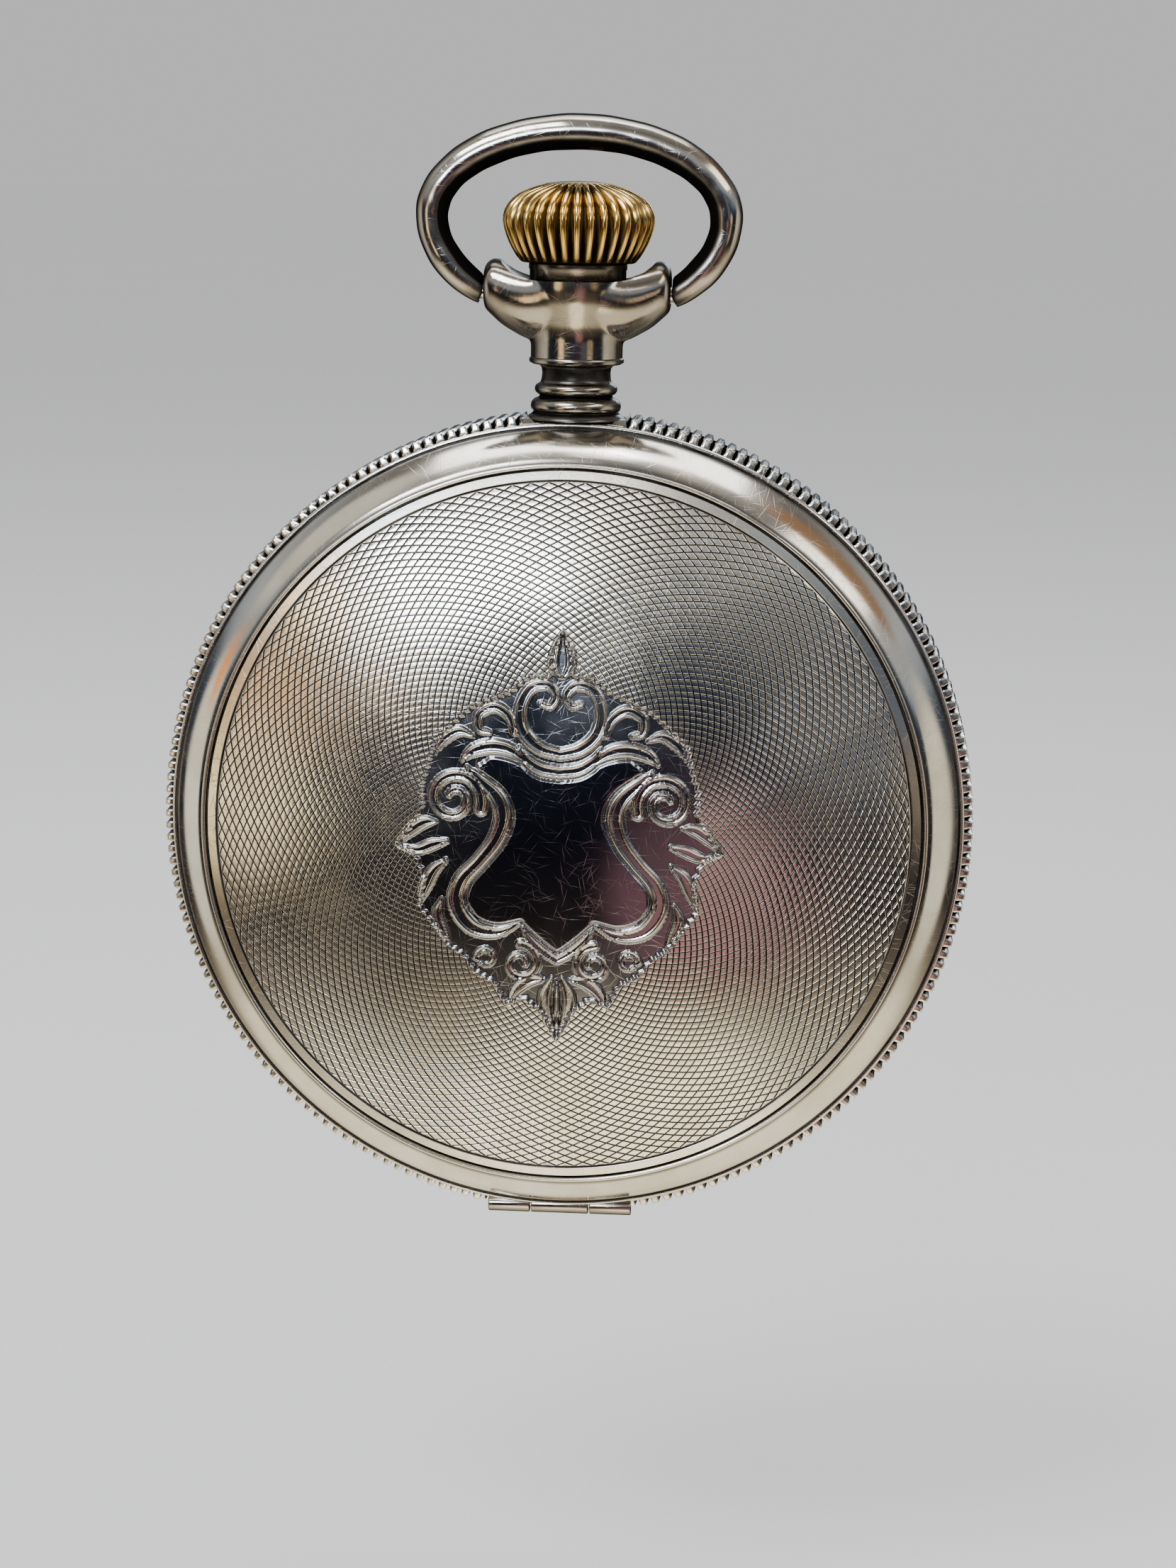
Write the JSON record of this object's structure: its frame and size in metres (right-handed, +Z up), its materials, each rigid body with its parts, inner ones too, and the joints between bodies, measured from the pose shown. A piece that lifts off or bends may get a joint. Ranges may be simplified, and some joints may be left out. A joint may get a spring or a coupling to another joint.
{
  "type": "hunter pocket watch",
  "caption": "Full hunter pocket watch with sprung lid, back cover, dust cover, bow, crown winding, going train and lever escapement.",
  "frame": {"origin": "lowest point of the case, below its centre, where the two hinge knuckles stand", "axes": "+Z up through the pendant and bow, +X to the right seen from the lid, +Y from the lid to the back cover"},
  "size_m": [0.056, 0.0186, 0.0761],
  "materials": {
    "case_silver": "worn, tarnished coin silver",
    "crown_gold": "polished gold, rubbed",
    "gilt": "gilt brass",
    "nickel": "damascened nickel-plated brass",
    "steel": "polished and grained steel",
    "blued_steel": "heat-blued steel",
    "ruby": "clear red jewel",
    "enamel": "fired white enamel",
    "crystal": "clear mineral glass"
  },
  "bodies": {
    "case": {"case_band": "case_silver", "pendant": "case_silver", "pendant_sleeve": "steel", "front_hinge_pin": "case_silver", "back_hinge_pin": "case_silver", "dust_hinge_pin": "case_silver", "bezel": "case_silver", "crystal": "crystal", "lift_spring": "steel", "case_screws": "steel", "main_plate": "nickel", "barrel_bridge": "nickel", "train_bridge": "nickel", "balance_cock": "nickel", "pallet_cock": "nickel", "plate_screws": "steel", "jewels": "ruby", "click_spring": "steel", "crown_wheel_screw": "steel", "dial": "enamel", "dial_screws": "steel", "hairspring": "blued_steel"},
    "front_cover": {"front_cover": "case_silver"},
    "back_cover": {"back_cover": "case_silver"},
    "dust_cover": {"dust_cover": "case_silver"},
    "bow": {"bow": "case_silver"},
    "winding_arbor": {"winding_pinion": "steel"},
    "crown": {"crown": "crown_gold", "crown_stem": "steel"},
    "lid_catch": {"lid_catch": "steel"},
    "crown_wheel": {"crown_wheel": "steel"},
    "ratchet": {"ratchet_wheel": "steel", "ratchet_screw": "steel", "barrel_arbor": "steel"},
    "click": {"click": "steel"},
    "setting_lever": {"setting_lever": "steel"},
    "regulator": {"regulator": "steel"},
    "barrel": {"mainspring_barrel": "gilt", "barrel_cover": "gilt", "mainspring": "steel"},
    "centre": {"centre_wheel": "gilt", "cannon_pinion": "steel", "minute_hand": "blued_steel"},
    "third": {"third_wheel": "gilt"},
    "fourth": {"fourth_wheel": "gilt", "seconds_hand": "blued_steel"},
    "escape": {"escape_wheel": "steel"},
    "minute_wheel": {"minute_wheel": "gilt"},
    "hour": {"hour_wheel": "gilt", "hour_hand": "blued_steel"},
    "pallet": {"pallet_fork": "steel", "pallet_stones": "ruby"},
    "balance": {"balance_wheel": "gilt", "balance_screws": "gilt", "balance_staff": "steel", "roller_jewel": "ruby"}
  },
  "joints": [
    {"name": "front_cover_hinge", "type": "hinge", "parent": "case", "child": "front_cover", "pos_m": [0, -0.0026, 0.0006], "axis": [1, 0, 0], "range_deg": [0, 95]},
    {"name": "back_cover_hinge", "type": "hinge", "parent": "case", "child": "back_cover", "pos_m": [0, 0.0026, 0.0006], "axis": [-1, 0, 0], "range_deg": [0, 110]},
    {"name": "dust_cover_hinge", "type": "hinge", "parent": "case", "child": "dust_cover", "pos_m": [0, 0.00435, 0.0038], "axis": [-1, 0, 0], "range_deg": [0, 93.5]},
    {"name": "bow_swing", "type": "hinge", "parent": "case", "child": "bow", "pos_m": [0, 0, 0.06405], "axis": [1, 0, 0], "range_deg": [-100, 100]},
    {"name": "crown_turn", "type": "hinge", "parent": "case", "child": "winding_arbor", "pos_m": [0, 0, 0.04395], "axis": [0, 0, 1], "continuous": true},
    {"name": "crown_press", "type": "slide", "parent": "winding_arbor", "child": "crown", "axis": [0, 0, 1], "range_m": [-0.0008, 0], "stiffness_N_per_m": 600},
    {"name": "lid_catch_slide", "type": "slide", "parent": "case", "child": "lid_catch", "axis": [0, 0, 1], "range_m": [-0.0006, 0]},
    {"name": "crown_wheel_turn", "type": "hinge", "parent": "case", "child": "crown_wheel", "pos_m": [0, 0, 0.03865], "axis": [0, 1, 0], "continuous": true},
    {"name": "ratchet_turn", "type": "hinge", "parent": "case", "child": "ratchet", "pos_m": [-0.0096, 0, 0.0337], "axis": [0, 1, 0], "continuous": true},
    {"name": "click_turn", "type": "hinge", "parent": "case", "child": "click", "pos_m": [-0.01731, 0, 0.03815], "axis": [0, 1, 0], "range_deg": [0, 12]},
    {"name": "setting_lever_turn", "type": "hinge", "parent": "case", "child": "setting_lever", "pos_m": [0.0095, 0, 0.04465], "axis": [0, -1, 0], "range_deg": [0, 12]},
    {"name": "regulator_turn", "type": "hinge", "parent": "case", "child": "regulator", "pos_m": [0.004, 0, 0.01555], "axis": [0, 1, 0], "range_deg": [-20, 20]},
    {"name": "fourth_turn", "type": "hinge", "parent": "case", "child": "fourth", "pos_m": [0.011, 0, 0.02805], "axis": [0, 1, 0], "continuous": true},
    {"name": "third_turn", "type": "hinge", "parent": "case", "child": "third", "pos_m": [0.00601, 0, 0.03202], "axis": [0, 1, 0], "continuous": true},
    {"name": "centre_turn", "type": "hinge", "parent": "case", "child": "centre", "pos_m": [0, 0, 0.02805], "axis": [0, 1, 0], "continuous": true},
    {"name": "barrel_turn", "type": "hinge", "parent": "case", "child": "barrel", "pos_m": [-0.0096, 0, 0.0337], "axis": [0, 1, 0], "continuous": true},
    {"name": "escape_turn", "type": "hinge", "parent": "case", "child": "escape", "pos_m": [0.0123, 0, 0.02322], "axis": [0, 1, 0], "continuous": true},
    {"name": "minute_wheel_turn", "type": "hinge", "parent": "case", "child": "minute_wheel", "pos_m": [-0.00338, 0, 0.02682], "axis": [0, 1, 0], "continuous": true},
    {"name": "hour_turn", "type": "hinge", "parent": "case", "child": "hour", "pos_m": [0, 0, 0.02805], "axis": [0, 1, 0], "continuous": true},
    {"name": "pallet_swing", "type": "hinge", "parent": "case", "child": "pallet", "pos_m": [0.00924, 0, 0.02039], "axis": [0, 1, 0], "range_deg": [-6, 6]},
    {"name": "balance_swing", "type": "hinge", "parent": "case", "child": "balance", "pos_m": [0.004, 0, 0.01555], "axis": [0, 1, 0], "range_deg": [-220, 220]}
  ],
  "couplings": [
    {"joint": "dust_cover_hinge", "follows": "back_cover_hinge", "ratio": 0.85},
    {"joint": "lid_catch_slide", "follows": "crown_press", "ratio": 0.75},
    {"joint": "crown_wheel_turn", "follows": "crown_turn", "ratio": -0.5},
    {"joint": "ratchet_turn", "follows": "crown_turn", "ratio": 0.4},
    {"joint": "third_turn", "follows": "fourth_turn", "ratio": -0.13333},
    {"joint": "centre_turn", "follows": "fourth_turn", "ratio": 0.016667},
    {"joint": "barrel_turn", "follows": "fourth_turn", "ratio": -0.0025641},
    {"joint": "escape_turn", "follows": "fourth_turn", "ratio": -10},
    {"joint": "minute_wheel_turn", "follows": "fourth_turn", "ratio": -0.0055556},
    {"joint": "hour_turn", "follows": "fourth_turn", "ratio": 0.0013889}
  ]
}
